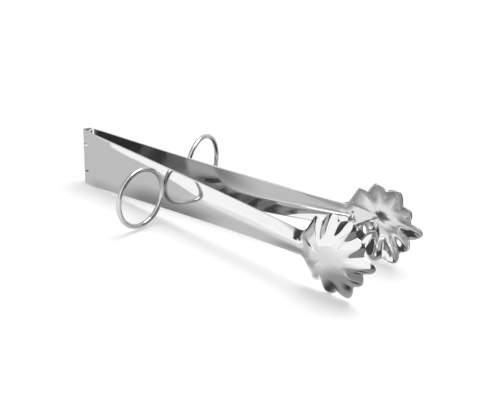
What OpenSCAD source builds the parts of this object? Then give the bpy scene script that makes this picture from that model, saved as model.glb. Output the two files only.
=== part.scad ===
// Pastry tongs: two stamped sheet arms that end in scalloped shells, a rolled
// three-knuckle hinge on a steel pin, and a wire finger ring welded to each arm.
// The origin is the foot of the hinge pin: X runs from it toward the shell tips,
// Z runs up the pin, and the near arm lies toward -Y.

/* [Arms] */
// Distance from the hinge pin to the tip of the shells
arm_length = 184; // [150:1:230]
// Height of the arms at the hinge
hinge_height = 30; // [24:1:40]
// Height of the arms at the neck, just before the shells
neck_height = 13; // [10:0.5:18]
// Thickness of the sheet
sheet = 0.9; // [0.7:0.1:1.2]
// How far the arched section rises above its edges at the neck
neck_rise = 3.3; // [2:0.1:4.5]
// Angle of each arm from the middle plane, tongs at rest
splay = 4.33; // [3:0.01:8]
// How far each arm bows outward between the hinge and the neck
bow = 4.3; // [2:0.1:6]

/* [Shells] */
// Height of each shell across its widest lobes
shell_height = 40.3; // [32:0.1:52]
// Depth of each shell
shell_depth = 6.5; // [4.5:0.1:9]

/* [Finger rings] */
// Clear bore of the near finger ring
near_ring_bore = 26.5; // [22:0.5:32]
// Clear bore of the far finger ring
far_ring_bore = 28; // [22:0.5:32]
// Thickness of the ring wire
ring_wire = 2.4; // [1.8:0.1:3]
// Distance from the hinge pin to the rings, as a share of the arm's length
ring_share = 0.308; // [0.26:0.002:0.4]

/* [Hinge] */
// Diameter of the hinge pin
pin_dia = 3; // [2.4:0.1:3.6]
// Gap between one knuckle and the next
knuckle_gap = 0.3; // [0.2:0.05:0.5]

/* [Hidden] */
$fn = 64;

// Hinge
half_height = hinge_height / 2;
knuckle_split = half_height / 2;
pin_clear = 0.05;
bore_r = pin_dia / 2 + pin_clear;
roll_r = bore_r + sheet;
pin_inset = 0.5;
pin_chamfer = 0.35;
seam_width = 0.3;
seam_turn = 36;
notch_bite = 0.35;
notch_run = roll_r - notch_bite;
root_run = 10;
root_rise = 0.83;
root_turn = 8.8;
root_bury = 0.05;
root_sink_share = 0.8;
cut = 0.5;

// Arm strip
shell_half = shell_height / 2;
tip_share = 1.196;
neck_share = 0.86;
centre_u = arm_length - tip_share * shell_half;
neck_u = centre_u - neck_share * shell_half;
neck_half = neck_height / 2;
taper_bulge_share = 0.19;
arch_power = 1.5;
arch_sweep = 7;
base_v = roll_r + root_rise;
rim_settle = 0.31;
rim_v = base_v + bow + rim_settle;
root_shares = [0.25, 0.55, 1];
taper_from = root_shares[0] * root_run;
spans = 13;
columns = 8;

// Neck fillet, and the straight side that runs out to the first lobe
fillet_share = 0.223;
fillet_r = fillet_share * shell_half;
flare_turn = 55.5;
fillet_steps = 4;
side_steps = 4;

// Lobes and notches: turn from the tip, and radius as a share of half the height
lobe_turn = [0, 28.5, 59.3, 90, 121.5];
lobe_share = [tip_share, 1.002, 1.077, 0.998, 0.918];
notch_turn = [15, 43, 75.5, 107.5];
notch_share = [0.913, 0.908, 0.905, 0.805];
lobe_power = 1.8;
lobe_steps = 4;

// The bowl's level lines: the same outline with its lobes smoothed away, as turn and share
smooth_shares = [[0, 1.055], [15, 1.02], [28.5, 0.975], [59.3, 0.985], [90, 0.945], [107.5, 0.885],
    [121.5, 0.918]];
bowl_ring_shares = [0.22, 0.42, 0.56, 0.68, 0.78, 0.87, 0.94, 0.98, 1];
bowl_power = 2.2;
wall_power = 0.85;
flute_from_share = 0.32;
flute_to_share = 0.78;
blend_share = 0.47;
blend_to = neck_u + blend_share * shell_half;
blend_slope = 0.19;

// Rings
ring_u = ring_share * arm_length;
wire_r = ring_wire / 2;
weld_sink = 0.15;

function ease(x) = let (t = min(1, max(0, x))) t * t * (3 - 2 * t);
function unit(v) = v / norm(v);
function flip(p) = [p[0], -p[1]];

// Half height of the strip at a station
function strip_half(u) =
    let (t = min(1, max(0, (u - taper_from) / (neck_u - taper_from))))
    half_height + (neck_half - half_height) * t * (1 + taper_bulge_share * (1 - t));

// Outward place of the sheet's edges at a station
function edge_v(u) =
    let (t = u / neck_u, slope = 2 * bow / neck_u)
    let (root = max(0, 1 - u / root_run))
    (t < 1 ? base_v + bow * t * t : rim_v - rim_settle * exp((neck_u - u) * slope / rim_settle))
    - root_rise * root * root;

// Rise of the arch above the edges at a station, swept up smoothly across the neck
function arch(u) =
    let (run = max(0, u - neck_u + arch_sweep / 2))
    let (swept = run < arch_sweep ? pow(run, 2) / (2 * arch_sweep) : run - arch_sweep / 2)
    neck_rise * pow(min(1, max(0, u / neck_u)), arch_power) + blend_slope * swept;

function crest_v(u) = edge_v(u) + arch(u);
function crest_turn(u) = atan((crest_v(u + cut) - crest_v(u - cut)) / (2 * cut));

// Outline of the shell from the upper neck corner round to the tip
fillet_end = [neck_u + fillet_r * sin(flare_turn), neck_half + fillet_r * (1 - cos(flare_turn))];
first_lobe = [centre_u, 0] + shell_half * lobe_share[4] * [cos(lobe_turn[4]), sin(lobe_turn[4])];
fillet_points = [for (i = [0 : fillet_steps]) let (a = flare_turn * i / fillet_steps)
    [neck_u + fillet_r * sin(a), neck_half + fillet_r * (1 - cos(a))]];
side_points = [for (i = [1 : side_steps]) fillet_end + (first_lobe - fillet_end) * i / side_steps];

// A point on one flank of a lobe: [turn, share]
function flank(lobe, notch, i) = let (t = i / lobe_steps)
    [lobe_turn[lobe] + (notch_turn[notch] - lobe_turn[lobe]) * t,
     notch_share[notch] + (lobe_share[lobe] - notch_share[notch]) * (1 - pow(t, lobe_power))];

lobe_polar = concat(
    [for (i = [1 : lobe_steps]) flank(4, 3, i)],
    [for (k = [3 : -1 : 0]) each concat(
        [for (i = [lobe_steps - 1 : -1 : 0]) flank(k, k, i)],
        k > 0 ? [for (i = [1 : lobe_steps]) flank(k, k - 1, i)] : [])]);

// Shell columns: each is an outline point and its smoothed twin
upper_columns = concat(
    [for (p = concat(fillet_points, side_points)) [p, p]],
    [for (q = lobe_polar) let (dir = shell_half * [cos(q[0]), sin(q[0])])
        [[centre_u, 0] + dir * q[1], [centre_u, 0] + dir * lookup(q[0], smooth_shares)]]);
rim_columns = concat(upper_columns,
    [for (i = [len(upper_columns) - 2 : -1 : 0]) [flip(upper_columns[i][0]), flip(upper_columns[i][1])]]);
neck_columns = [for (j = [1 : columns - 1])
    let (p = [neck_u, neck_half * (2 * j / columns - 1)]) [p, p]];
shell_columns = concat(rim_columns, neck_columns);

// Half height of the zone in which the arch dies out into the bowl
function flare_half(u) =
    u <= neck_u ? strip_half(u)
    : u <= fillet_end[0] ? neck_half + fillet_r - sqrt(max(0, pow(fillet_r, 2) - pow(u - neck_u, 2)))
    : fillet_end[1] + (u - fillet_end[0]) * (first_lobe[1] - fillet_end[1]) / (first_lobe[0] - fillet_end[0]);

// Outer face of the strip at a station and a share of its half height
function strip_point(u, t) = [u, edge_v(u) + arch(u) * (1 - t * t), strip_half(u) * t];

// Outer face of the shell, on one column at one level line
function shell_point(col, ring) =
    let (lobed = ease((ring - flute_from_share) / (flute_to_share - flute_from_share)))
    let (p = [centre_u, 0] + (col[1] + (col[0] - col[1]) * lobed - [centre_u, 0]) * ring)
    let (bowl = shell_depth * pow(max(0, 1 - pow(ring, bowl_power)), wall_power))
    let (m = ease((p[0] - neck_u) / (blend_to - neck_u)))
    let (q = p[1] / flare_half(p[0]))
    [p[0], edge_v(p[0]) + (1 - m) * arch(p[0]) * max(0, 1 - q * q) + m * bowl, p[1]];

// Rows of points along the strip, then round the level lines of the shell
root_u = (root_bury - roll_r) * sin(root_turn);
root_v = (roll_r - root_bury) * cos(root_turn);
strip_u = concat([for (s = root_shares) s * root_run],
    [for (i = [1 : spans]) root_run + (neck_u - root_run) * i / spans]);
stations = len(strip_u);
strip_rows = concat(
    [[for (j = [0 : columns]) [root_u, root_v, half_height * (2 * j / columns - 1)]]],
    [for (u = strip_u) [for (j = [0 : columns]) strip_point(u, 2 * j / columns - 1)]]);

rings = len(bowl_ring_shares);
around = len(shell_columns);
shell_rows = [for (ring = bowl_ring_shares) [for (col = shell_columns) shell_point(col, ring)]];
crown = [centre_u, edge_v(centre_u) + shell_depth, 0];

// Steps from the outer face to the inner face, square to the sheet
strip_steps = [for (i = [0 : stations]) [for (j = [0 : columns])
    let (a = strip_rows[min(stations, i + 1)][j] - strip_rows[max(0, i - 1)][j])
    let (b = strip_rows[i][min(columns, j + 1)] - strip_rows[i][max(0, j - 1)])
    i == 0 ? [sin(root_turn), -cos(root_turn), 0] * sheet * root_sink_share : unit(cross(a, b)) * sheet]];
shell_steps = [for (i = [0 : rings - 1]) [for (k = [0 : around - 1])
    let (a = shell_rows[min(rings - 1, i + 1)][k] - (i == 0 ? crown : shell_rows[i - 1][k]))
    let (b = shell_rows[i][(k + 1) % around] - shell_rows[i][(k + around - 1) % around])
    unit(cross(b, a)) * sheet]];

outer_points = concat([for (row = strip_rows) each row], [for (row = shell_rows) each row], [crown]);
inner_steps = concat([for (row = strip_steps) each row], [for (row = shell_steps) each row],
    [[0, -sheet, 0]]);
half_count = len(outer_points);
crown_id = half_count - 1;
sheet_points = concat(outer_points, outer_points + inner_steps);

// Numbers of the points, the neck's row being shared by strip and shell
rim_count = len(rim_columns);
function strip_id(i, j) = i * (columns + 1) + j;
function shell_id(i, k) =
    i == rings - 1 && k == 0 ? strip_id(stations, columns)
    : i == rings - 1 && k >= rim_count - 1 ? strip_id(stations, k - rim_count + 1)
    : (stations + 1) * (columns + 1) + i * around + k;

// One triangle on both faces, a four-sided patch, and a length of the edge
function both(a, b, c) = [[a, c, b], [a, b, c] + half_count * [1, 1, 1]];
function patch(a, b, c, d) = concat(both(a, b, c), both(a, c, d));
function edge(a, b) = [[a, b, b + half_count], [a, b + half_count, a + half_count]];

sheet_faces = concat(
    [for (i = [0 : stations - 1], j = [0 : columns - 1])
        each patch(strip_id(i, j), strip_id(i, j + 1), strip_id(i + 1, j + 1), strip_id(i + 1, j))],
    [for (i = [0 : rings - 2], k = [0 : around - 1]) let (n = (k + 1) % around)
        each patch(shell_id(i + 1, k), shell_id(i + 1, n), shell_id(i, n), shell_id(i, k))],
    [for (k = [0 : around - 1]) each both(shell_id(0, k), shell_id(0, (k + 1) % around), crown_id)],
    [for (j = [0 : columns - 1]) each edge(strip_id(0, j), strip_id(0, j + 1))],
    [for (i = [0 : stations - 1]) each edge(strip_id(i, columns), strip_id(i + 1, columns))],
    [for (k = [0 : rim_count - 2]) each edge(shell_id(rings - 1, k), shell_id(rings - 1, k + 1))],
    [for (i = [stations : -1 : 1]) each edge(strip_id(i, 0), strip_id(i - 1, 0))]);

// The pressed sheet of one arm, outer face toward +Y
module pressed_sheet() {
    polyhedron(points = sheet_points, faces = sheet_faces, convexity = 6);
}

// A box from low to high, across the hinge end of the sheet
module root_box(low, high) {
    translate([-roll_r - cut, -roll_r, low])
        cube([roll_r + cut + notch_run, 3 * roll_r, high - low]);
}

// One rolled knuckle, with the fine seam where the roll closes on the sheet
module knuckle(low, high) {
    difference() {
        translate([0, 0, low]) cylinder(r = roll_r, h = high - low);
        translate([0, 0, low - cut]) cylinder(r = bore_r, h = high - low + 2 * cut);
        rotate([0, 0, seam_turn])
            translate([0, -seam_width / 2, low - cut])
            cube([roll_r + cut, seam_width, high - low + 2 * cut]);
    }
}

// Arm with knuckles at both ends of the pin
module outer_arm() {
    difference() {
        pressed_sheet();
        root_box(-knuckle_split - knuckle_gap / 2, knuckle_split + knuckle_gap / 2);
    }
    knuckle(-half_height, -knuckle_split - knuckle_gap / 2);
    knuckle(knuckle_split + knuckle_gap / 2, half_height);
}

// Arm with one knuckle in the middle of the pin
module middle_arm() {
    difference() {
        pressed_sheet();
        root_box(-half_height - cut, -knuckle_split + knuckle_gap / 2);
        root_box(knuckle_split - knuckle_gap / 2, half_height + cut);
    }
    knuckle(-knuckle_split + knuckle_gap / 2, knuckle_split - knuckle_gap / 2);
}

// A closed wire ring that stands square on the arm, its foot flattened by the weld
module finger_ring(bore) {
    ring_r = bore / 2 + wire_r;
    translate([ring_u, crest_v(ring_u), 0])
        rotate([0, 0, crest_turn(ring_u)])
        translate([0, ring_r + wire_r - weld_sink, 0])
        difference() {
            rotate([0, 90, 0])
                rotate_extrude($fn = 96) translate([ring_r, 0]) circle(r = wire_r, $fn = 32);
            translate([-ring_wire, -ring_r - wire_r + weld_sink - ring_wire, -ring_r])
                cube([2 * ring_wire, ring_wire, 2 * ring_r]);
        }
}

module near_side() {
    translate([0, 0, half_height]) rotate([0, 0, -splay]) mirror([0, 1, 0]) children();
}

module far_side() {
    translate([0, 0, half_height]) rotate([0, 0, splay]) children();
}

module near_arm() {
    color("lightsteelblue") near_side() outer_arm();
}

module far_arm() {
    color("silver") far_side() middle_arm();
}

module near_ring() {
    color("gold") near_side() finger_ring(near_ring_bore);
}

module far_ring() {
    color("goldenrod") far_side() finger_ring(far_ring_bore);
}

// The pin's foot is flush with the lower knuckle, its head sunk in the upper one
module hinge_pin() {
    top = hinge_height - pin_inset;
    r = pin_dia / 2;
    color("dimgray")
        rotate_extrude()
        polygon([[0, 0], [r - pin_chamfer, 0], [r, pin_chamfer],
                 [r, top - pin_chamfer], [r - pin_chamfer, top], [0, top]]);
}

near_arm();
far_arm();
hinge_pin();
near_ring();
far_ring();
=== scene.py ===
"""Pastry tongs in polished stainless steel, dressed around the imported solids.

Each arm is one sheet: a flat notched blank is drawn up by mesh code, and a Geometry
Nodes press then rolls its hinge end, bows and arches the strip and draws the scalloped
shell. The finger rings are wire swept along a circle by a second tree. Lengths are in
millimetres inside the classes and in metres on the finished pieces.
"""

import logging
import math
from dataclasses import dataclass, field
from enum import Enum
from typing import Sequence

import bpy
import numpy as np
from mathutils import Matrix, Vector

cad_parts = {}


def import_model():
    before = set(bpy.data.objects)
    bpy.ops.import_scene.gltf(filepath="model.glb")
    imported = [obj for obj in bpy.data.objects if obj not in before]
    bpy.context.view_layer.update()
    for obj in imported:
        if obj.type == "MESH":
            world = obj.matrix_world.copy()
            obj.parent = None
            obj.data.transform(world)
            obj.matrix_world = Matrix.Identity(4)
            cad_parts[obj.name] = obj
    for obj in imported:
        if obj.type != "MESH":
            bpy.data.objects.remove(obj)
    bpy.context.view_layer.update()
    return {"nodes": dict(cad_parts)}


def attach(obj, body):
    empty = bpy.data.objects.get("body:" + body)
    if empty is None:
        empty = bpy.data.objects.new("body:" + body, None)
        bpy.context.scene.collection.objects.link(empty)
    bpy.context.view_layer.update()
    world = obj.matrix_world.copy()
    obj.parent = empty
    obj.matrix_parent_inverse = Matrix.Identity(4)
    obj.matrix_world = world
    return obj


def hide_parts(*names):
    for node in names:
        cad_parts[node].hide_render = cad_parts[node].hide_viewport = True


LOG = logging.getLogger("pastry_tongs")
MM = 0.001

# The floor meets the knuckles' outer edge and falls toward the shells' lower lobes
FLOOR_SLOPE = math.radians(1.8)
HINGE_EDGE = 0.00245

WHITE = (1.0, 1.0, 1.0, 1.0)
Point = tuple[float, float, float]
Corners = tuple[Point, ...]
Colour = tuple[float, float, float, float]


def grey(level: float) -> Colour:
    """An opaque grey of a level, white at most."""
    return (*(min(1.0, level),) * 3, 1.0)


class Side(Enum):
    """Which half of the tongs a piece belongs to."""

    NEAR = -1.0
    FAR = 1.0

    @property
    def body(self) -> str:
        """Name of the moving body on this side."""
        return "near_half" if self is Side.NEAR else "far_half"

    @property
    def word(self) -> str:
        """The side as the first word of a piece's name."""
        return self.name.lower()

    @property
    def ring_bore(self) -> float:
        """Clear bore of the finger ring on this side."""
        return 26.5 if self is Side.NEAR else 28.0


class Formula:
    """A number that a node tree works out, written with Python's own signs."""

    def __init__(self, tree: bpy.types.NodeTree, socket: bpy.types.NodeSocket) -> None:
        """Wraps an output socket of a tree.

        Args:
            tree: The node tree that the formula grows in.
            socket: The output that gives the number.
        """
        self.tree = tree
        self.socket = socket

    def step(self, operation: str, *others: "Formula | float") -> "Formula":
        """Adds one Math node.

        Args:
            operation: Name of the Math node's operation.
            others: The operands after this one.

        Returns:
            The node's result.
        """
        node = self.tree.nodes.new("ShaderNodeMath")
        node.operation = operation
        for slot, value in zip(node.inputs, (self, *others)):
            if isinstance(value, Formula):
                self.tree.links.new(value.socket, slot)
            else:
                slot.default_value = value
        return Formula(self.tree, node.outputs[0])

    def __add__(self, other: "Formula | float") -> "Formula":
        """Sum."""
        return self.step("ADD", other)

    def __sub__(self, other: "Formula | float") -> "Formula":
        """Difference."""
        return self.step("SUBTRACT", other)

    def __mul__(self, other: "Formula | float") -> "Formula":
        """Product."""
        return self.step("MULTIPLY", other)

    def __truediv__(self, other: "Formula | float") -> "Formula":
        """Quotient."""
        return self.step("DIVIDE", other)

    def __pow__(self, other: "Formula | float") -> "Formula":
        """Power."""
        return self.step("POWER", other)

    def __neg__(self) -> "Formula":
        """The number with its sign turned."""
        return self.step("MULTIPLY", -1.0)

    def flipped(self) -> "Formula":
        """One minus the number."""
        return (-self) + 1.0

    def at_least(self, floor: float) -> "Formula":
        """The number, or the floor where it is lower."""
        return self.step("MAXIMUM", floor)

    def chosen(self, when_true: "Formula", when_false: "Formula") -> "Formula":
        """Picks between two numbers.

        Args:
            when_true: Result where this formula is 1.
            when_false: Result where this formula is 0.

        Returns:
            The picked number.
        """
        return when_false + self * (when_true - when_false)

    def eased(self, low: "Formula | float", high: "Formula | float") -> "Formula":
        """Smooth step from 0 at low to 1 at high.

        Args:
            low: Where the step starts.
            high: Where the step ends.

        Returns:
            The eased share.
        """
        share = ((self - low) / (high - low)).step("MAXIMUM", 0.0).step("MINIMUM", 1.0)
        return share * share * ((share * -2.0) + 3.0)


class Workshop:
    """A Geometry Nodes tree with named inputs, made and applied by script."""

    def __init__(self, name: str, sizes: dict[str, float]) -> None:
        """Starts a tree.

        Args:
            name: The tree's name.
            sizes: Named inputs and the values that they take.
        """
        self.tree = bpy.data.node_groups.new(name, "GeometryNodeTree")
        self.sizes = sizes
        face = self.tree.interface
        face.new_socket("Geometry", in_out="INPUT", socket_type="NodeSocketGeometry")
        self.keys = {
            key: face.new_socket(key, in_out="INPUT", socket_type="NodeSocketFloat").identifier
            for key in sizes
        }
        face.new_socket("Geometry", in_out="OUTPUT", socket_type="NodeSocketGeometry")
        self.entry = self.tree.nodes.new("NodeGroupInput")

    def size(self, key: str) -> Formula:
        """A named input as a formula."""
        return Formula(self.tree, self.entry.outputs[key])

    def node(self, kind: str, **inputs: object) -> bpy.types.Node:
        """Adds a node and feeds its inputs.

        Args:
            kind: The node's type.
            inputs: Input names, underscores for spaces, with a value or a socket each.

        Returns:
            The node.
        """
        made = self.tree.nodes.new(kind)
        for key, value in inputs.items():
            slot = made.inputs[key.replace("_", " ")]
            if isinstance(value, Formula):
                value = value.socket
            if isinstance(value, bpy.types.NodeSocket):
                self.tree.links.new(value, slot)
            else:
                slot.default_value = value
        return made

    def stored(self, name: str) -> Formula:
        """Reads a point attribute of the mesh by its name."""
        read = self.node("GeometryNodeInputNamedAttribute", Name=name)
        return Formula(self.tree, read.outputs["Attribute"])

    def finish(self, geometry: bpy.types.NodeSocket, material: bpy.types.Material) -> None:
        """Ends the tree in Realize Instances and Set Material.

        Args:
            geometry: The socket with the finished shape.
            material: Material of the result.
        """
        real = self.node("GeometryNodeRealizeInstances", Geometry=geometry)
        dressed = self.node("GeometryNodeSetMaterial", Geometry=real.outputs[0])
        dressed.inputs["Material"].default_value = material
        out = self.tree.nodes.new("NodeGroupOutput")
        self.tree.links.new(dressed.outputs[0], out.inputs[0])

    def make(self, blank: bpy.types.Mesh, name: str) -> bpy.types.Mesh:
        """Runs the tree on a blank.

        Args:
            blank: The mesh that enters the tree.
            name: Name of the resulting mesh.

        Returns:
            A plain mesh, with no modifier left on anything.
        """
        holder = bpy.data.objects.new(name + "_blank", blank)
        bpy.context.scene.collection.objects.link(holder)
        run = holder.modifiers.new("press", "NODES")
        run.node_group = self.tree
        for key, value in self.sizes.items():
            run[self.keys[key]] = value
        view = bpy.context.evaluated_depsgraph_get()
        made = bpy.data.meshes.new_from_object(
            holder.evaluated_get(view), preserve_all_data_layers=True, depsgraph=view
        )
        made.name = name
        bpy.data.objects.remove(holder)
        return made


@dataclass(frozen=True)
class PolishedSteel:
    """Mirror-polished stainless steel with faint polishing marks and handling haze.

    Attributes:
        name: Name of the material.
        shade: Grey level of the metal.
        haze: How much the roughness varies from place to place.
        gloss: Mean roughness.
        grain_length: Scale of the polishing marks along the piece, in turns a metre.
        grain_width: Scale of the marks across it.
        wave: Depth of the slow swell of the surface, in metres.
        turn: Turn of the marks about Z.
        metallic: Share of metal in the shader.
        tint: Share by which the shade varies up and down.
        cloud: Scale and detail of the haze.
        marks_detail: Detail of the polishing marks.
        swell: Scale of the swell along and across the piece.
        marks_haze: Share of the haze that follows the marks.
        marks_depth: Depth of the marks as a share of the swell.
        smoothest: Lowest roughness.
    """

    name: str
    shade: float
    haze: float
    gloss: float
    grain_length: float
    grain_width: float
    wave: float
    turn: float = 0.0
    metallic: float = 0.95
    tint: float = 0.03
    cloud: tuple[float, float] = (45.0, 3.0)
    marks_detail: float = 4.0
    swell: tuple[float, float] = (22.0, 60.0)
    marks_haze: float = 0.5
    marks_depth: float = 0.02
    smoothest: float = 0.01

    def material(self) -> bpy.types.Material:
        """Builds the finish.

        Returns:
            A node material on Object coordinates.
        """
        made = bpy.data.materials.new(self.name)
        made.use_nodes = True
        tree = made.node_tree
        shader = tree.nodes["Principled BSDF"]
        shader.inputs["Metallic"].default_value = self.metallic
        place = tree.nodes.new("ShaderNodeTexCoord")
        turned = tree.nodes.new("ShaderNodeMapping")
        turned.inputs["Rotation"].default_value = (0.0, 0.0, self.turn)
        tree.links.new(place.outputs["Object"], turned.inputs["Vector"])

        def pattern(scale: Point, detail: float) -> Formula:
            """Noise stretched along the polishing direction.

            Args:
                scale: Scale along each axis, in turns a metre.
                detail: Octaves of the noise.

            Returns:
                The noise from 0 to 1.
            """
            stretch = tree.nodes.new("ShaderNodeMapping")
            stretch.inputs["Scale"].default_value = scale
            noise = tree.nodes.new("ShaderNodeTexNoise")
            noise.inputs["Scale"].default_value = 1.0
            noise.inputs["Detail"].default_value = detail
            tree.links.new(turned.outputs["Vector"], stretch.inputs["Vector"])
            tree.links.new(stretch.outputs["Vector"], noise.inputs["Vector"])
            return Formula(tree, noise.outputs["Fac"])

        cloud_scale, cloud_detail = self.cloud
        along, across = self.swell
        cloud = pattern((cloud_scale, cloud_scale, cloud_scale), cloud_detail)
        lines = pattern(
            (self.grain_length, self.grain_width, self.grain_width), self.marks_detail
        )
        swell = pattern((along, across, across), 1.0)
        ramp = tree.nodes.new("ShaderNodeMix")
        ramp.data_type = "RGBA"
        ramp.inputs["A"].default_value = grey(self.shade * (1.0 - self.tint))
        ramp.inputs["B"].default_value = grey(self.shade * (1.0 + self.tint))
        tree.links.new((lines * 0.5 + cloud * 0.5).socket, ramp.inputs["Factor"])
        tree.links.new(ramp.outputs["Result"], shader.inputs["Base Color"])
        mean_haze = 0.5 * (1.0 + self.marks_haze) * self.haze
        rough = (
            cloud * self.haze + lines * (self.marks_haze * self.haze) + (self.gloss - mean_haze)
        )
        tree.links.new(rough.at_least(self.smoothest).socket, shader.inputs["Roughness"])
        bump = tree.nodes.new("ShaderNodeBump")
        bump.inputs["Distance"].default_value = self.wave
        bump.inputs["Strength"].default_value = 1.0
        tree.links.new((swell + lines * self.marks_depth).socket, bump.inputs["Height"])
        tree.links.new(bump.outputs["Normal"], shader.inputs["Normal"])
        return made


def wire_polish(side: Side) -> PolishedSteel:
    """The finish of a finger ring, whose marks run every way.

    Args:
        side: Which ring.

    Returns:
        The finish.
    """
    return PolishedSteel(
        side.word + "_wire_polish",
        shade=0.55,
        haze=0.03,
        gloss=0.08,
        grain_length=300.0,
        grain_width=300.0,
        wave=0.000005,
    )


@dataclass(frozen=True)
class TurnedSteel:
    """Plain pin steel: dull, with fine rings left by the tool on its ends and sides. The default
    shade is painted shade, far darker than the steel's own grey, so the hinge's top shows dark.

    Attributes:
        name: Name of the material.
        shade: Grey level of the metal.
        gloss: Lowest roughness.
        ring_scale: Scale of the tool's rings, in turns a metre.
        ring_wander: How far the rings stray from true circles.
        speck_scale: Scale of the wear between them.
        darkest: Shade of the darkest places, as a share.
        lightest: Shade of the lightest places, as a share.
        ring_part: Part of the shade's change that follows the rings, wear giving the rest.
        worn_haze: Roughness that wear adds at most.
    """

    name: str = "pin_steel"
    # Painted shade: this shade is far below the steel's own grey, so the pin ends show dark like
    # the shaded top of the hinge.
    shade: float = 0.15
    gloss: float = 0.3
    ring_scale: float = 900.0
    ring_wander: float = 2.0
    speck_scale: float = 700.0
    darkest: float = 0.8
    lightest: float = 1.15
    ring_part: float = 0.4
    worn_haze: float = 0.15

    def material(self) -> bpy.types.Material:
        """Builds the finish.

        Returns:
            A node material on Object coordinates.
        """
        made = bpy.data.materials.new(self.name)
        made.use_nodes = True
        tree = made.node_tree
        shader = tree.nodes["Principled BSDF"]
        shader.inputs["Metallic"].default_value = 1.0
        place = tree.nodes.new("ShaderNodeTexCoord")
        rings = tree.nodes.new("ShaderNodeTexWave")
        rings.wave_type = "RINGS"
        rings.rings_direction = "Z"
        rings.inputs["Scale"].default_value = self.ring_scale
        rings.inputs["Distortion"].default_value = self.ring_wander
        speck = tree.nodes.new("ShaderNodeTexNoise")
        speck.inputs["Scale"].default_value = self.speck_scale
        for pattern in (rings, speck):
            tree.links.new(place.outputs["Object"], pattern.inputs["Vector"])
        turned = Formula(tree, rings.outputs["Fac"])
        worn = Formula(tree, speck.outputs["Fac"])
        tint = tree.nodes.new("ShaderNodeMix")
        tint.data_type = "RGBA"
        tint.inputs["A"].default_value = grey(self.shade * self.darkest)
        tint.inputs["B"].default_value = grey(self.shade * self.lightest)
        mixed = turned * self.ring_part + worn * (1.0 - self.ring_part)
        tree.links.new(mixed.socket, tint.inputs["Factor"])
        tree.links.new(tint.outputs["Result"], shader.inputs["Base Color"])
        tree.links.new((worn * self.worn_haze + self.gloss).socket, shader.inputs["Roughness"])
        return made


def eased(value: np.ndarray, low: float, high: float) -> np.ndarray:
    """Smooth step from 0 at low to 1 at high, for each value."""
    share = np.clip((value - low) / (high - low), 0, 1)
    return share * share * (3 - 2 * share)


def mesh_from(
    name: str, points: np.ndarray, faces: Sequence[Sequence[int]], shares: dict[str, np.ndarray]
) -> bpy.types.Mesh:
    """Makes a mesh with point attributes.

    Args:
        name: The mesh's name.
        points: Vertex places, one row each.
        faces: Vertex numbers of each face.
        shares: Point attributes by name.

    Returns:
        The mesh.
    """
    mesh = bpy.data.meshes.new(name)
    mesh.from_pydata(points.tolist(), [], [list(f) for f in faces])
    for key, values in shares.items():
        mesh.attributes.new(key, "FLOAT", "POINT").data.foreach_set(
            "value", values.astype(np.float32)
        )
    mesh.update()
    return mesh


def piece_from(name: str, mesh: bpy.types.Mesh, material: bpy.types.Material) -> bpy.types.Object:
    """Puts a finished mesh in the scene, smooth shaded, at the origin.

    Args:
        name: The piece's name.
        mesh: Its mesh, in metres, in the frame's coordinates.
        material: Its finish.

    Returns:
        The piece.
    """
    mesh.materials.clear()
    mesh.materials.append(material)
    mesh.shade_smooth()
    made = bpy.data.objects.new(name, mesh)
    bpy.context.scene.collection.objects.link(made)
    return made


def thicken(sheet: bpy.types.Mesh, wall: float, edge: float, steps: int) -> bpy.types.Mesh:
    """Gives a one-sided sheet its wall, with a softened edge all round.

    Args:
        sheet: The outer face, normals outward, in metres.
        wall: Thickness in metres.
        edge: How far the rounding of the edge reaches inward, in metres.
        steps: Facets across the edge.

    Returns:
        The closed mesh.
    """
    count = len(sheet.vertices)
    place = np.empty(count * 3)
    sheet.vertices.foreach_get("co", place)
    place = place.reshape(-1, 3)
    normal = np.array([n.vector[:] for n in sheet.vertex_normals])
    faces = [list(p.vertices) for p in sheet.polygons]
    seen: dict[tuple[int, int], int] = {}
    for f in faces:
        for a, b in zip(f, f[1:] + f[:1]):
            seen[(a, b)] = seen.get((a, b), 0) + 1
    rim = [(a, b) for a, b in seen if (b, a) not in seen]
    outward = np.zeros_like(place)
    for a, b in rim:
        along = place[b] - place[a]
        out = np.cross(along, normal[a] + normal[b])
        out /= np.linalg.norm(out) + 1e-12
        outward[a] += out
        outward[b] += out
    border = sorted({a for a, _ in rim})
    outward[border] /= np.linalg.norm(outward[border], axis=1)[:, None]
    rows = []
    for k in range(1, steps):
        turn = math.pi * k / steps
        lift = outward[border] * edge * (math.sin(turn) - 1.0)
        sink = normal[border] * wall * (math.cos(turn) - 1.0) / 2.0
        rows.append(place[border] + lift + sink)
    inner = place - normal * wall
    drawn_in = outward[border] * edge
    inner[border] -= drawn_in
    outer = place.copy()
    outer[border] -= drawn_in
    points = np.vstack([outer, inner, *rows])
    own = np.arange(count)
    seat = np.zeros(count, int)
    seat[border] = np.arange(len(border))
    across = [2 * count + k * len(border) + seat for k in range(steps - 1)]
    tracks = [track.tolist() for track in (own, *across, own + count)]
    faces += [[v + count for v in reversed(f)] for f in faces]
    for low, high in zip(tracks, tracks[1:]):
        faces += [[low[b], low[a], high[a], high[b]] for a, b in rim]
    return mesh_from(sheet.name, points, faces, {})


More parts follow.
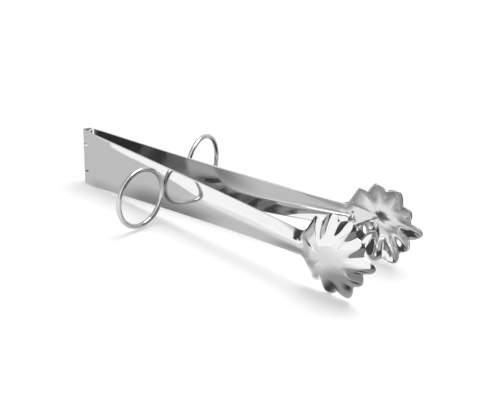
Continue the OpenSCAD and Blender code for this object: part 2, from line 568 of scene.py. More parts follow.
@dataclass
class TongsSizes:
    """Sizes that the arms, the hinge and the rings share, in millimetres."""

    arm_length: float = 184.0
    half_height: float = 15.0
    neck_half: float = 6.5
    wall: float = 0.9
    splay: float = math.radians(4.33)
    roll_radius: float = 2.45
    bow: float = 4.3
    neck_rise: float = 3.3
    shell_half: float = 20.15
    shell_depth: float = 6.5
    root_run: float = 10.0
    root_rise: float = 0.83
    rim_settle: float = 0.31
    arch_power: float = 1.5
    tip_share: float = 1.196
    neck_share: float = 0.86
    ring_share: float = 0.308
    ring_wire: float = 2.4

    @property
    def centre(self) -> float:
        """Station of the shell's centre."""
        return self.arm_length - self.tip_share * self.shell_half

    @property
    def neck(self) -> float:
        """Station of the neck."""
        return self.centre - self.neck_share * self.shell_half

    @property
    def ring_station(self) -> float:
        """Station at which a finger ring stands."""
        return self.ring_share * self.arm_length

    @property
    def base(self) -> float:
        """Outward place of the sheet's edges past the hinge."""
        return self.roll_radius + self.root_rise

    def edge_v(self, u: float) -> float:
        """Outward place of the sheet's edges.

        Args:
            u: Station along the arm, short of the neck.

        Returns:
            Distance from the pin's axis, square to the arm.
        """
        root = max(0.0, 1.0 - u / self.root_run)
        return self.base + self.bow * (u / self.neck) ** 2 - self.root_rise * root**2

    def crest_v(self, u: float) -> float:
        """Outward place of the arch's crest at a station short of the neck."""
        return self.edge_v(u) + self.neck_rise * (u / self.neck) ** self.arch_power

    def placed(self, u: float, v: float, side: Side) -> Vector:
        """A point of an arm's own plane in the frame.

        Args:
            u: Station along the arm.
            v: Distance out from it.
            side: Which arm.

        Returns:
            The point in metres, at mid height.
        """
        c, s = math.cos(self.splay), math.sin(self.splay)
        x, y = u * c - v * s, side.value * (u * s + v * c)
        return Vector((x, y, self.half_height)) * MM


def sheet_polish(side: Side, sizes: TongsSizes) -> PolishedSteel:
    """The finish of an arm, whose marks run along it.

    Args:
        side: Which arm.
        sizes: Sizes of the tongs.

    Returns:
        The finish.
    """
    return PolishedSteel(
        side.word + "_sheet_polish",
        shade=0.66,
        haze=0.03,
        gloss=0.06,
        grain_length=30.0,
        grain_width=900.0,
        wave=0.00001,
        turn=-side.value * sizes.splay,
    )


@dataclass
class PressedArm:
    """One arm: notched blank, rolled knuckles, arched strip and scalloped shell.

    Lengths are in millimetres, turns of the outline in degrees from the tip, and shares of
    the outline are taken from the shell's half height. Rings are counted in shares of the way
    from the shell's centre to its rim.
    """

    side: Side
    sizes: TongsSizes
    finish: PolishedSteel
    knuckle_gap: float = 0.3
    knuckle_share: float = 0.5
    seam_turn: float = 37.0
    root_turn: float = 8.8
    notch_run: float = 2.1
    notch_lead: float = 0.3
    taper_from: float = 2.5
    taper_bulge: float = 0.19
    roll_steps: int = 30
    root_stations: tuple[float, ...] = (0.5, 1.0)
    root_steps: int = 9
    strip_steps: int = 110
    outer_columns: int = 10
    inner_columns: int = 17
    edge_round: float = 0.2
    edge_steps: int = 6
    fillet_share: float = 0.223
    flare_turn: float = math.radians(55.5)
    fillet_steps: int = 10
    side_steps: int = 10
    flank_steps: int = 14
    lobe_turns: tuple[float, ...] = (0.0, 28.5, 59.3, 90.0, 121.5)
    lobe_shares: tuple[float, ...] = (1.196, 1.002, 1.077, 0.998, 0.918)
    notch_turns: tuple[float, ...] = (15.0, 43.0, 75.5, 107.5)
    notch_shares: tuple[float, ...] = (0.913, 0.908, 0.905, 0.805)
    lobe_power: float = 1.8
    valley_round: float = 0.12
    smooth_turns: tuple[float, ...] = (0.0, 15.0, 28.5, 59.3, 90.0, 107.5, 121.5)
    smooth_shares: tuple[float, ...] = (1.055, 1.02, 0.975, 0.985, 0.945, 0.885, 0.918)
    flute_from: float = 0.4
    flute_to: float = 0.78
    crisp_from: float = 0.7
    bowl_power: float = 2.2
    wall_power: float = 0.85
    blend_share: float = 0.47
    blend_slope: float = 0.19
    sweep: float = 7.0
    ring_runs: tuple[tuple[float, float, int], ...] = ((0.05, 0.4, 8), (0.42, 0.9, 25))
    rim_rings: tuple[float, ...] = (0.915, 0.93, 0.945, 0.96, 0.978, 1.0)
    slack: float = 0.001

    def across(self) -> np.ndarray:
        """Shares of the half height at which the strip's columns run.

        Returns:
            Rising shares from -1 to 1, with the knuckles' ends among them.
        """
        slit = self.knuckle_gap / 2 / self.sizes.half_height
        low, high = self.knuckle_share - slit, self.knuckle_share + slit
        outer = np.linspace(high, 1.0, self.outer_columns)
        inner = np.linspace(-low, low, self.inner_columns)
        return np.concatenate([-outer[::-1], inner, outer])

    def strip_half(self, u: np.ndarray) -> np.ndarray:
        """Half height of the strip at each station.

        Args:
            u: Stations.

        Returns:
            Half heights.
        """
        s = self.sizes
        t = np.clip((u - self.taper_from) / (s.neck - self.taper_from), 0, 1)
        return s.half_height + (s.neck_half - s.half_height) * t * (
            1 + self.taper_bulge * (1 - t)
        )

    def outline(self) -> tuple[np.ndarray, ...]:
        """Upper half of the shell's outline, from the neck corner to the tip.

        Returns:
            The rim's outline, its softer twin inside the bowl and the plain dish that the
            flutes fade into, as (station, height) rows.
        """
        s = self.sizes
        radius = self.fillet_share * s.shell_half
        turns = np.linspace(0, self.flare_turn, self.fillet_steps + 1)
        fillet = np.stack(
            [s.neck + radius * np.sin(turns), s.neck_half + radius * (1 - np.cos(turns))], 1
        )
        last = math.radians(self.lobe_turns[-1])
        first_lobe = np.array([s.centre, 0.0]) + s.shell_half * self.lobe_shares[-1] * np.array(
            [math.cos(last), math.sin(last)]
        )
        run = np.linspace(0, 1, self.side_steps + 1)[1:, None]
        straight = fillet[-1] + (first_lobe - fillet[-1]) * run
        t = 0.5 - 0.5 * np.cos(np.linspace(0, math.pi, self.flank_steps + 1))
        e = self.valley_round
        near_notch = (np.sqrt((1 - t) ** 2 + e * e) - e) / (math.sqrt(1 + e * e) - e)
        fall = (1 - near_notch) ** self.lobe_power
        roll = 0.5 - 0.5 * np.cos(math.pi * t)

        def flank(lobe: int, notch: int) -> np.ndarray:
            """Draws one flank of a lobe.

            Args:
                lobe: Number of the lobe, from the tip.
                notch: Number of the notch that it falls to.

            Returns:
                Rows from ridge to notch: turn, share at the rim and share inside.
            """
            ridge = self.lobe_turns[lobe]
            turn = ridge + (self.notch_turns[notch] - ridge) * t
            low, high = self.notch_shares[notch], self.lobe_shares[lobe]
            rim = low + (high - low) * (1 - fall)
            return np.stack([turn, rim, low + (high - low) * (1 - roll)], 1)

        last_notch = len(self.notch_turns) - 1
        polar = [flank(last_notch + 1, last_notch)[1:]]
        for k in range(last_notch, -1, -1):
            polar.append(flank(k, k)[-2::-1])
            if k:
                polar.append(flank(k, k - 1)[1:])
        lobes = np.concatenate(polar)
        way = np.radians(lobes[:, 0])
        ray = s.shell_half * np.stack([np.cos(way), np.sin(way)], 1)
        smooth = np.interp(lobes[:, 0], self.smooth_turns, self.smooth_shares)
        plain = np.concatenate([fillet, straight])
        centre = np.array([s.centre, 0.0])
        return tuple(
            np.concatenate([plain, centre + ray * share[:, None]])
            for share in (lobes[:, 1], lobes[:, 2], smooth)
        )

    @property
    def roll_from(self) -> float:
        """Station at which the sheet leaves the straight and starts to roll."""
        return -self.sizes.roll_radius * math.sin(math.radians(self.root_turn))

    def _stations(self) -> np.ndarray:
        """Stations of the strip's rows, from the end of the roll to the neck.

        Returns:
            Rising stations, those of the roll below zero.
        """
        s = self.sizes
        roll_length = s.roll_radius * math.radians(360 + self.seam_turn - 90 - self.root_turn)
        rolled = self.roll_from - np.linspace(1, 0, self.roll_steps + 1) * roll_length
        return np.concatenate(
            [
                rolled,
                [*self.root_stations, self.notch_run - self.notch_lead, self.notch_run],
                np.linspace(self.taper_from, s.root_run, self.root_steps),
                np.linspace(s.root_run, s.neck, self.strip_steps + 1)[1:],
            ]
        )

    def _plan(self, lines: Sequence[np.ndarray], rings: np.ndarray) -> np.ndarray:
        """Lays the shell's rings out flat.

        Args:
            lines: The lobed rim, its softer twin and the plain dish, all round.
            rings: Shares of the way from the centre to the rim.

        Returns:
            Station and height of each column on each ring.
        """
        lobed, soft, smooth = lines
        centre = np.array([self.sizes.centre, 0.0])
        flute = eased(rings, self.flute_from, self.flute_to)[:, None, None]
        crisp = eased(rings, self.crisp_from, 1.0)[:, None, None]
        fluted = soft + (lobed - soft) * crisp
        return centre + (smooth + (fluted - smooth) * flute - centre) * rings[:, None, None]

    def blank(self) -> bpy.types.Mesh:
        """Draws the flat blank: hinge tabs, tapered strip and lobed disc.

        Returns:
            A flat mesh in millimetres in the XZ plane, with the attributes "share", how far
            a point lies across the arch, and "ring", how far out it lies in the shell.
        """
        s = self.sizes
        shares = self.across()
        width = len(shares)
        stations = self._stations()
        u, share = np.meshgrid(stations, shares, indexing="ij")
        points = [np.stack([u, 0 * u, self.strip_half(u) * share], -1).reshape(-1, 3)]
        attribute_share = [share.ravel()]
        attribute_ring = [np.ones(share.size)]
        notched = int(np.searchsorted(stations, self.notch_run))
        own = self._tab_columns(shares)
        faces = [
            [i * width + j, i * width + j + 1, (i + 1) * width + j + 1, (i + 1) * width + j]
            for i in range(len(stations) - 1)
            for j in range(width - 1)
            if i >= notched or own[j]
        ]
        mirror = np.array([1.0, -1.0])
        neck = np.stack([np.full(width - 2, s.neck), s.neck_half * shares[1:-1]], 1)
        lines = [np.concatenate([half, half[-2::-1] * mirror, neck]) for half in self.outline()]
        around = len(lines[0])
        rim = around - len(neck)
        rings = np.concatenate([*(np.linspace(*run) for run in self.ring_runs), self.rim_rings])
        plan = self._plan(lines, rings)
        flare = self._flare_half(plan[..., 0], lines[0][self.fillet_steps + self.side_steps])
        base = sum(len(p) for p in points)
        points.append(np.stack([plan[..., 0], 0 * plan[..., 0], plan[..., 1]], -1).reshape(-1, 3))
        attribute_share.append(np.clip(plan[..., 1] / flare, -1, 1).ravel())
        attribute_ring.append(np.repeat(rings, around))
        points.append(np.array([[s.centre, 0.0, 0.0]]))
        attribute_share.append(np.zeros(1))
        attribute_ring.append(np.zeros(1))
        crown = base + len(rings) * around
        last_row = (len(stations) - 1) * width

        def seat(i: int, k: int) -> int:
            """Finds a vertex of the shell, whose outermost ring shares the neck's row.

            Args:
                i: Number of the ring, from the centre.
                k: Number of the column, counted round the shell.

            Returns:
                The vertex's number.
            """
            k %= around
            if i < len(rings) - 1:
                return base + i * around + k
            if k == 0:
                return last_row + width - 1
            if k >= rim - 1:
                return last_row + k - rim + 1
            return base + i * around + k

        for k in range(around):
            faces.append([seat(0, k + 1), crown, seat(0, k)])
            for i in range(len(rings) - 1):
                faces.append([seat(i + 1, k + 1), seat(i, k + 1), seat(i, k), seat(i + 1, k)])
        places = np.concatenate(points)
        used = sorted({v for f in faces for v in f})
        number = {v: i for i, v in enumerate(used)}
        turned = self.side is Side.NEAR
        return mesh_from(
            self.side.word + "_blank",
            places[used],
            [[number[v] for v in (reversed(f) if turned else f)] for f in faces],
            {
                "share": np.concatenate(attribute_share)[used],
                "ring": np.concatenate(attribute_ring)[used],
            },
        )

    def _tab_columns(self, shares: np.ndarray) -> np.ndarray:
        """Which columns keep their metal at the hinge end.

        Args:
            shares: The columns' shares of the half height.

        Returns:
            One truth value for each gap between two columns.
        """
        middle = np.abs((shares[:-1] + shares[1:]) / 2)
        slit = (self.knuckle_gap / 2 - self.slack) / self.sizes.half_height
        if self.side is Side.NEAR:
            return middle > self.knuckle_share + slit
        return middle < self.knuckle_share - slit

    def _flare_half(self, u: np.ndarray, first_lobe: np.ndarray) -> np.ndarray:
        """Half height of the zone where the arch dies out into the bowl.

        Args:
            u: Stations past the neck.
            first_lobe: Tip of the lobe nearest the neck.

        Returns:
            Half heights.
        """
        s = self.sizes
        radius = self.fillet_share * s.shell_half
        end_u = s.neck + radius * math.sin(self.flare_turn)
        end_z = s.neck_half + radius * (1 - math.cos(self.flare_turn))
        curve = s.neck_half + radius - np.sqrt(np.maximum(0, radius**2 - (u - s.neck) ** 2))
        rise = (first_lobe[1] - end_z) / (first_lobe[0] - end_u)
        past_fillet = np.where(u <= end_u, curve, end_z + (u - end_u) * rise)
        return np.where(u <= s.neck, s.neck_half, past_fillet)

    def press(self, material: bpy.types.Material) -> Workshop:
        """Builds the press: the tree that forms the flat blank.

        Args:
            material: Finish of the sheet.

        Returns:
            The tree with its sizes.
        """
        s = self.sizes
        shop = Workshop(
            self.side.word + "_press",
            {
                "Neck": s.neck,
                "Base": s.base,
                "Bow": s.bow,
                "Neck Rise": s.neck_rise,
                "Arch Power": s.arch_power,
                "Rim Settle": s.rim_settle,
                "Root Run": s.root_run,
                "Root Rise": s.root_rise,
                "Blend Run": self.blend_share * s.shell_half,
                "Blend Slope": self.blend_slope,
                "Sweep": self.sweep,
                "Bowl Depth": s.shell_depth,
                "Bowl Power": self.bowl_power,
                "Wall Power": self.wall_power,
                "Roll Radius": s.roll_radius,
                "Roll Turn": math.radians(90 + self.root_turn),
                "Roll From": self.roll_from,
                "Splay": s.splay,
                "Side": self.side.value,
                "Lift": s.half_height,
            },
        )
        at = shop.size
        spot = shop.node("GeometryNodeInputPosition")
        split = shop.node("ShaderNodeSeparateXYZ", Vector=spot.outputs[0])
        u = Formula(shop.tree, split.outputs["X"])
        z = Formula(shop.tree, split.outputs["Z"])
        share, ring = shop.stored("share"), shop.stored("ring")
        t = (u / at("Neck")).at_least(0.0)
        on_strip = u.step("LESS_THAN", at("Neck"))
        slope = at("Bow") * 2.0 / at("Neck")
        past = (at("Neck") - u).step("MINIMUM", 0.0)
        settled = (past * slope / at("Rim Settle")).step("EXPONENT").flipped()
        bowed = on_strip.chosen(at("Bow") * t * t, at("Bow") + settled * at("Rim Settle"))
        root = (u / at("Root Run")).flipped().at_least(0.0)
        edge = at("Base") + bowed - root * root * at("Root Rise")
        run = (u - at("Neck") + at("Sweep") * 0.5).at_least(0.0)
        swept = run.step("LESS_THAN", at("Sweep")).chosen(
            run * run / at("Sweep") * 0.5, run - at("Sweep") * 0.5
        )
        plain = at("Neck Rise") * t.step("MINIMUM", 1.0) ** at("Arch Power")
        arch = plain + swept * at("Blend Slope")
        blend = u.eased(at("Neck"), at("Neck") + at("Blend Run"))
        bowl = (ring ** at("Bowl Power")).flipped().at_least(0.0) ** at("Wall Power")
        crossed = (share * share).flipped().at_least(0.0)
        v = edge + blend.flipped() * arch * crossed + blend * bowl * at("Bowl Depth")
        in_roll = u.step("LESS_THAN", at("Roll From") + self.slack)
        turn = at("Roll Turn") - (u - at("Roll From")) / at("Roll Radius")
        v = in_roll.chosen(turn.step("SINE") * at("Roll Radius"), v)
        u = in_roll.chosen(turn.step("COSINE") * at("Roll Radius"), u)
        c, n = at("Splay").step("COSINE"), at("Splay").step("SINE")
        x = (u * c - v * n) * MM
        y = (u * n + v * c) * at("Side") * MM
        spot = shop.node("ShaderNodeCombineXYZ", X=x, Y=y, Z=(z + at("Lift")) * MM)
        formed = shop.node(
            "GeometryNodeSetPosition",
            Geometry=shop.entry.outputs["Geometry"],
            Position=spot.outputs[0],
        )
        shop.finish(formed.outputs[0], material)
        return shop

    def build(self) -> bpy.types.Object:
        """Presses the blank, gives it its wall and puts it on its body.

        Returns:
            The finished arm.
        """
        material = self.finish.material()
        name = self.side.word + "_pressed_arm"
        face = self.press(material).make(self.blank(), name + "_face")
        solid = thicken(face, self.sizes.wall * MM, self.edge_round * MM, self.edge_steps)
        arm = piece_from(name, solid, material)
        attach(arm, self.side.body)
        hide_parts(self.side.word + "_arm")
        return arm


@dataclass
class FingerRing:
    """A closed wire ring, its foot welded to the arm's crest."""

    side: Side
    sizes: TongsSizes
    finish: PolishedSteel
    sink: float = 0.15
    slope_run: float = 0.5
    segments: int = 128
    sides: int = 28

    def tree(self, material: bpy.types.Material) -> Workshop:
        """Builds the tree that sweeps the wire along its circle.

        Args:
            material: Finish of the wire.

        Returns:
            The tree with its sizes.
        """
        s = self.sizes
        station, run = s.ring_station, self.slope_run
        slope = math.atan((s.crest_v(station + run) - s.crest_v(station - run)) / (2 * run))
        radius = (self.side.ring_bore + s.ring_wire) / 2
        lift = radius + s.ring_wire / 2 - self.sink
        centre = s.placed(
            station - lift * math.sin(slope),
            s.crest_v(station) + lift * math.cos(slope),
            self.side,
        )
        shop = Workshop(
            self.side.word + "_wire_sweep",
            {
                "Ring Radius": radius * MM,
                "Wire Radius": s.ring_wire / 2 * MM,
                "Centre X": centre.x,
                "Centre Y": centre.y,
                "Centre Z": centre.z,
                "Turn": self.side.value * (slope + s.splay),
            },
        )
        path = shop.node(
            "GeometryNodeCurvePrimitiveCircle",
            Resolution=self.segments,
            Radius=shop.size("Ring Radius"),
        )
        profile = shop.node(
            "GeometryNodeCurvePrimitiveCircle",
            Resolution=self.sides,
            Radius=shop.size("Wire Radius"),
        )
        wire = shop.node(
            "GeometryNodeCurveToMesh",
            Curve=path.outputs["Curve"],
            Profile_Curve=profile.outputs["Curve"],
        )
        stood = shop.node("GeometryNodeTransform", Geometry=wire.outputs[0])
        stood.inputs["Rotation"].default_value = (0.0, math.pi / 2, 0.0)
        turn = shop.node("ShaderNodeCombineXYZ", Z=shop.size("Turn"))
        centre_at = shop.node(
            "ShaderNodeCombineXYZ",
            X=shop.size("Centre X"),
            Y=shop.size("Centre Y"),
            Z=shop.size("Centre Z"),
        )
        placed = shop.node(
            "GeometryNodeTransform",
            Geometry=stood.outputs[0],
            Rotation=turn.outputs[0],
            Translation=centre_at.outputs[0],
        )
        shop.finish(placed.outputs[0], material)
        return shop

    def build(self) -> bpy.types.Object:
        """Sweeps the wire and puts it on its body.

        Returns:
            The finished ring.
        """
        material = self.finish.material()
        name = self.side.word + "_wire_ring"
        empty = bpy.data.meshes.new(name + "_start")
        ring = piece_from(name, self.tree(material).make(empty, name), material)
        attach(ring, self.side.body)
        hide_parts(self.side.word + "_ring")
        return ring


@dataclass
class HingePin:
    """The hinge pin, shown as its own solid with turned steel on it."""

    finish: TurnedSteel = field(default_factory=TurnedSteel)

    def build(self, node: bpy.types.Object) -> bpy.types.Object:
        """Dresses the pin's solid.

        Args:
            node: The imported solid.

        Returns:
            The same solid.
        """
        node.data.materials.clear()
        node.data.materials.append(self.finish.material())
        return node


@dataclass(frozen=True)
class Card:
    """A flat studio card that only mirrors see. Those lying on the floor round the tongs paint
    shadow and light into the floor as the mirrors show it.

    Attributes:
        name: Name of the card.
        corners: Its corners in order, in metres.
        glow: How bright it is in a mirror.
        fade: Width of the soft edges along and across it, as shares; four corners only.
        far_glow: Brightness at the far edge, where it differs from that at the near one.
    """

    name: str
    corners: Corners
    glow: float
    fade: tuple[float, float] = (0.0, 0.0)
    far_glow: float | None = None


def standing(start: Point, end: Point, top: float) -> Corners:
    """Corners of a card that stands upright.

    Args:
        start: One end of its foot.
        end: The other end.
        top: Height of its upper edge.

    Returns:
        The four corners in order round the card.
    """
    return (start, end, (*end[:2], top), (*start[:2], top))


def on_floor(outline: Sequence[tuple[float, float]], lift: float) -> Corners:
    """Corners of a card that lies on the floor.

    Args:
        outline: Its corners in plan, in order.
        lift: Height above the floor.

    Returns:
        The corners in order round the card.
    """
    slope = math.tan(FLOOR_SLOPE)
    return tuple((x, y, lift - slope * (x + HINGE_EDGE)) for x, y in outline)


def flat(left: float, right: float, front: float, back: float, lift: float) -> Corners:
    """Corners of a straight card that lies on the floor.

    Args:
        left: Lowest X.
        right: Highest X.
        front: Lowest Y.
        back: Highest Y.
        lift: Height above the floor.

    Returns:
        The four corners in order round the card.
    """
    return on_floor(((left, front), (right, front), (right, back), (left, back)), lift)


@dataclass(frozen=True)
class Lamp:
    """A soft square lamp that points at the tongs.

    Attributes:
        name: Name of the lamp.
        place: Where it hangs, in metres.
        size: Its two sides, in metres.
        power: Its power in watts.
        mirrored: Whether the polished steel shows it.
    """

    name: str
    place: Point
    size: tuple[float, float]
    power: float
    mirrored: bool = True


@dataclass(frozen=True)
class Viewpoint:
    """The camera at the photograph's place and angle.

    Attributes:
        place: Where it stands, in metres.
        right: Direction to the right of the picture.
        ahead: Direction that it looks in.
        lens: Focal length in millimetres.
        sensor: Width of the sensor in millimetres.
        reach: Distance past which nothing is drawn, in metres.
    """

    place: Point = (0.420003, -0.469698, 0.280279)
    right: Point = (0.82247274, 0.56849827, 0.01866323)
    ahead: Point = (-0.50851922, 0.74960699, -0.42367153)
    lens: float = 94.388
    sensor: float = 36.0
    reach: float = 20.0

    def build(self) -> None:
        """Makes the camera and looks through it."""
        data = bpy.data.cameras.new("camera")
        data.lens = self.lens
        data.sensor_width = self.sensor
        data.sensor_fit = "HORIZONTAL"
        data.clip_end = self.reach
        made = bpy.data.objects.new("camera", data)
        right, ahead = Vector(self.right), Vector(self.ahead)
        turn = Matrix((right, right.cross(ahead), -ahead)).transposed().to_4x4()
        made.matrix_world = Matrix.Translation(self.place) @ turn
        bpy.context.scene.collection.objects.link(made)
        bpy.context.scene.camera = made


@dataclass
class Studio:
    """Pale floor, soft lamps and cards. All lengths are in metres.

    Attributes:
        slope: Fall of the floor toward +X.
        pivot: Where the floor touches the hinge's foot.
        floor_half: Half the floor's side.
        floor_shade: Grey level of the floor.
        floor_rough: Roughness of the floor.
        floor_glow: Extra brightness of the floor where it is seen.
        look: Where the lamps point.
        world_light: Brightness of the world as soft light.
        lamps: The lamps.
        cards: The cards. On the floor, a higher one covers a lower one.
    """

    slope: float = FLOOR_SLOPE
    pivot: Point = (-HINGE_EDGE, 0.0, 0.0)
    floor_half: float = 3.0
    floor_shade: float = 0.8
    floor_rough: float = 0.9
    floor_glow: float = 0.35
    look: Point = (0.08, 0.0, 0.015)
    world_light: float = 0.2
    lamps: tuple[Lamp, ...] = (
        Lamp("key_lamp", (-0.3, -0.6, 0.8), (0.7, 0.7), 2.0, mirrored=False),
        Lamp("top_lamp", (0.2, 0.3, 0.9), (0.7, 0.7), 7.0),
    )
    cards: tuple[Card, ...] = (
        # Painted shade: a grey patch of floor round the tongs, darker in the mirrors than the open
        # floor, as the tongs' soft shadow.
        Card("near_floor_shade", flat(-0.3, 0.135, -0.065, 0.2, 0.0004), 0.77),
        # Painted light: glowing cards on the floor in front of the tongs and past the tip, seen in
        # the mirrors as floor lit brighter than white.
        Card(
            "front_floor_light",
            on_floor(
                ((-0.031, -0.047), (-0.05, -0.068), (-1.5, -1.6), (0.085, -1.6), (0.085, -0.042),
                 (0.06, -0.042), (0.045, -0.045), (0.03, -0.05), (0.013, -0.056), (-0.004, -0.057),
                 (-0.012, -0.0525), (-0.018, -0.0487), (-0.025, -0.0473)),
                0.0008,
            ),
            1.42,
        ),
        Card("front_soft_light", flat(0.035, 0.135, -0.085, -0.028, 0.001), 1.2, (0.2, 0.3)),
        Card("tip_floor_light", flat(0.085, 0.3, -0.3, -0.036, 0.0012), 1.6, (0.05, 0.05), 1.0),
        # Painted shadow: dark soft cards on the floor under the hinge, the near ring and the near
        # shell's lower lobes, seen in the mirrors as contact shadows.
        Card("hinge_foot_shadow", flat(-0.008, 0.024, -0.014, 0.0, 0.00045), 0.58, (0.5, 0.5)),
        Card("ring_foot_shadow", flat(0.008, 0.092, -0.03, 0.006, 0.0005), 0.3, (0.35, 0.5)),
        Card("shell_foot_shadow", flat(0.14, 0.215, -0.056, -0.005, 0.0016), 0.42, (0.25, 0.45)),
        Card("left_lobe_shadow", flat(0.1525, 0.1665, -0.031, -0.016, 0.0019), 0.04, (0.5, 0.5)),
        Card("right_lobe_shadow", flat(0.1675, 0.184, -0.037, -0.0225, 0.0019), 0.02, (0.5, 0.5)),
        # Painted light: a bright patch of floor between the shells, as the mirrors show it.
        Card("gap_floor_light", flat(0.137, 0.185, -0.022, 0.006, 0.0022), 1.15, (0.15, 0.1)),
        # Painted shadow: dark soft cards on the floor under the shells' bowls, the near neck and
        # the far shell, seen in the mirrors as shade under the tongs.
        Card("bowl_shadow", flat(0.1435, 0.1535, -0.0125, -0.0015, 0.0024), 0.05, (0.35, 0.3)),
        Card("neck_foot_shadow", flat(0.108, 0.149, -0.04, -0.004, 0.0014), 0.4, (0.5, 0.5)),
        Card("far_foot_shadow", flat(0.11, 0.21, 0.0, 0.045, 0.0024), 0.4, (0.3, 0.45)),
        Card(
            "right_floor",
            on_floor(((0.174, -0.045), (0.774, -1.27), (1.5, -0.6), (0.28, 0.02)), 0.0018),
            0.31,
        ),
        Card("front_sky", standing((-2.33, -2.21, 0.0), (0.45, -0.6, -0.01), 6.0), 1.4),
        Card(
            "left_dark",
            ((-3.0, -2.84, 0.1), (-3.0, -1.75, 0.1), (-3.0, -1.75, 1.1), (-3.0, -0.7, 1.1),
             (-3.0, -0.7, 4.0), (-3.0, -2.3, 4.0), (-3.0, -2.82, 1.9)),
            0.05,
        ),
        Card("left_low", standing((-3.0, -1.75, 0.0), (-3.0, 2.0, 0.0), 1.1), 0.6),
        Card("left_high", standing((-3.0, -0.7, 1.1), (-3.0, 2.0, 1.1), 3.2), 0.15),
        Card(
            "right_back_floor",
            on_floor(
                ((0.192, 0.03), (0.206, -0.008), (0.9, -0.35), (0.9, 1.4), (0.2, 0.35)), 0.0026
            ),
            0.1,
        ),
        Card("right_dark", standing((0.45, -0.62, -0.03), (0.85, 0.5, -0.03), 0.6), 0.06),
        Card("right_back_dark", standing((0.85, 0.6, -0.03), (0.4, 0.9, -0.03), 0.25), 0.12),
        Card(
            "shell_shade",
            standing((0.145, -0.004, 0.045), (0.22, -0.004, 0.045), 0.12),
            0.6,
            (0.2, 0.3),
        ),
        # Painted shadow: dark cards on the floor behind the far arm and between the arms at the
        # hinge, seen in the mirrors as the arms' shadow.
        Card("far_side_shadow", flat(0.043, 0.092, 0.011, 0.062, 0.0006), 0.03, (0.25, 0.3)),
        Card("far_root_shadow", flat(0.002, 0.046, -0.007, 0.019, 0.00065), 0.05, (0.3, 0.4)),
    )

    def build(self) -> None:
        """Makes the floor, the world, the lamps and the cards."""
        self._floor()
        self._world()
        for lamp in self.lamps:
            self._lamp(lamp)
        for card in self.cards:
            self._card(card)

    def _background(self, tree: bpy.types.NodeTree) -> Formula:
        """Tells what is seen as background from what is hit by soft light.

        Args:
            tree: Tree of the material or the world that asks.

        Returns:
            One where the camera, a mirror or glass sees the surface, else zero.
        """
        path = tree.nodes.new("ShaderNodeLightPath")
        seen = Formula(tree, path.outputs["Is Camera Ray"])
        for name in ("Is Glossy Ray", "Is Transmission Ray"):
            seen = seen.step("MAXIMUM", Formula(tree, path.outputs[name]))
        return seen

    def _floor(self) -> None:
        """A wide pale floor that touches the hinge's foot and the lower lobes."""
        h = self.floor_half
        mesh = mesh_from(
            "floor",
            np.array([[-h, -h, 0], [h, -h, 0], [h, h, 0], [-h, h, 0]], float),
            [[0, 1, 2, 3]],
            {},
        )
        made = bpy.data.objects.new("floor", mesh)
        bpy.context.scene.collection.objects.link(made)
        made.matrix_world = Matrix.Translation(self.pivot) @ Matrix.Rotation(self.slope, 4, "Y")
        material = bpy.data.materials.new("pale_floor")
        material.use_nodes = True
        tree = material.node_tree
        shader = tree.nodes["Principled BSDF"]
        shader.inputs["Base Color"].default_value = grey(self.floor_shade)
        shader.inputs["Roughness"].default_value = self.floor_rough
        shader.inputs["Specular IOR Level"].default_value = 0.0
        shader.inputs["Emission Color"].default_value = WHITE
        glow = self._background(tree) * self.floor_glow
        tree.links.new(glow.socket, shader.inputs["Emission Strength"])
        mesh.materials.append(material)

    def _world(self) -> None:
        """White where the camera or a mirror looks, a plain level for soft light."""
        world = bpy.data.worlds.new("studio")
        world.use_nodes = True
        tree = world.node_tree
        back = tree.nodes["Background"]
        back.inputs["Color"].default_value = WHITE
        level = self._background(tree) * (1.0 - self.world_light) + self.world_light
        tree.links.new(level.socket, back.inputs["Strength"])
        bpy.context.scene.world = world

    def _facing(self, place: Point, way: Vector) -> Matrix:
        """A placement at a point with its -Z axis along a direction."""
        return Matrix.Translation(place) @ way.to_track_quat("-Z", "Y").to_matrix().to_4x4()

    def _lamp(self, lamp: Lamp) -> None:
        """Hangs one soft lamp.

        Args:
            lamp: The lamp.
        """
        data = bpy.data.lights.new(lamp.name, "AREA")
        data.shape = "RECTANGLE"
        data.size, data.size_y = lamp.size
        data.energy = lamp.power
        made = bpy.data.objects.new(lamp.name, data)
        made.matrix_world = self._facing(lamp.place, Vector(self.look) - Vector(lamp.place))
        made.visible_glossy = lamp.mirrored
        bpy.context.scene.collection.objects.link(made)

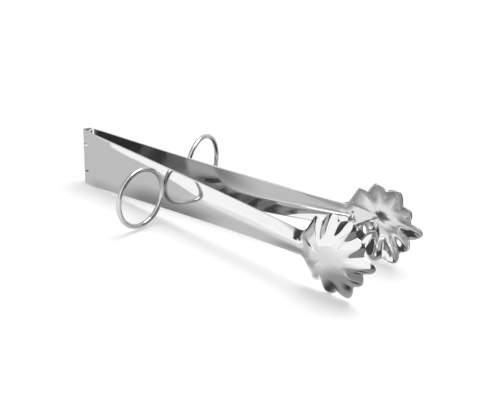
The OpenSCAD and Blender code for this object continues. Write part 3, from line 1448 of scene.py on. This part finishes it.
    def _card_finish(self, card: Card) -> bpy.types.Material:
        """Builds the glow of a card and its soft edges.

        Args:
            card: The card, whose UV map runs from 0 to 1 across it.

        Returns:
            A node material.
        """
        material = bpy.data.materials.new(card.name)
        material.use_nodes = True
        tree = material.node_tree
        tree.nodes.remove(tree.nodes["Principled BSDF"])
        split = tree.nodes.new("ShaderNodeSeparateXYZ")
        tree.links.new(tree.nodes.new("ShaderNodeTexCoord").outputs["UV"], split.inputs[0])
        cover = None
        for axis, share in zip("XY", card.fade):
            if share <= 0:
                continue
            spot = Formula(tree, split.outputs[axis])
            edge = spot.step("MINIMUM", spot.flipped()).eased(0.0, share)
            cover = edge if cover is None else cover * edge
        glow = tree.nodes.new("ShaderNodeEmission")
        glow.inputs["Strength"].default_value = card.glow
        if card.far_glow is not None:
            level = Formula(tree, split.outputs["Y"]) * (card.far_glow - card.glow) + card.glow
            tree.links.new(level.socket, glow.inputs["Strength"])
        shown = glow.outputs[0]
        if cover is not None:
            mix = tree.nodes.new("ShaderNodeMixShader")
            tree.links.new(cover.socket, mix.inputs[0])
            tree.links.new(tree.nodes.new("ShaderNodeBsdfTransparent").outputs[0], mix.inputs[1])
            tree.links.new(shown, mix.inputs[2])
            shown = mix.outputs[0]
        tree.links.new(shown, tree.nodes["Material Output"].inputs["Surface"])
        return material

    def _card(self, card: Card) -> None:
        """Sets up one card, which only mirrors see.

        Args:
            card: The card.
        """
        mesh = mesh_from(card.name, np.array(card.corners), [list(range(len(card.corners)))], {})
        made = bpy.data.objects.new(card.name, mesh)
        bpy.context.scene.collection.objects.link(made)
        mesh.uv_layers.new(name="UVMap")
        for loop, spot in zip(mesh.uv_layers[0].data, ((0, 0), (1, 0), (1, 1), (0, 1))):
            loop.uv = spot
        mesh.materials.append(self._card_finish(card))
        made.visible_camera = False
        made.visible_diffuse = False
        made.visible_shadow = False


def main() -> None:
    """Builds the tongs piece by piece, then the studio."""
    logging.basicConfig(level=logging.INFO, format="%(name)s: %(message)s")
    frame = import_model()
    scene = bpy.context.scene
    scene.view_settings.view_transform = "Standard"
    sizes = TongsSizes()
    for side in Side:
        arm = PressedArm(side, sizes, sheet_polish(side, sizes)).build()
        LOG.info("%s: %d faces", arm.name, len(arm.data.polygons))
    for side in Side:
        ring = FingerRing(side, sizes, wire_polish(side)).build()
        LOG.info("%s: %d faces", ring.name, len(ring.data.polygons))
    pin = HingePin().build(frame["nodes"]["hinge_pin"])
    LOG.info("%s dressed", pin.name)
    Studio().build()
    Viewpoint().build()


if __name__ == "__main__":
    main()
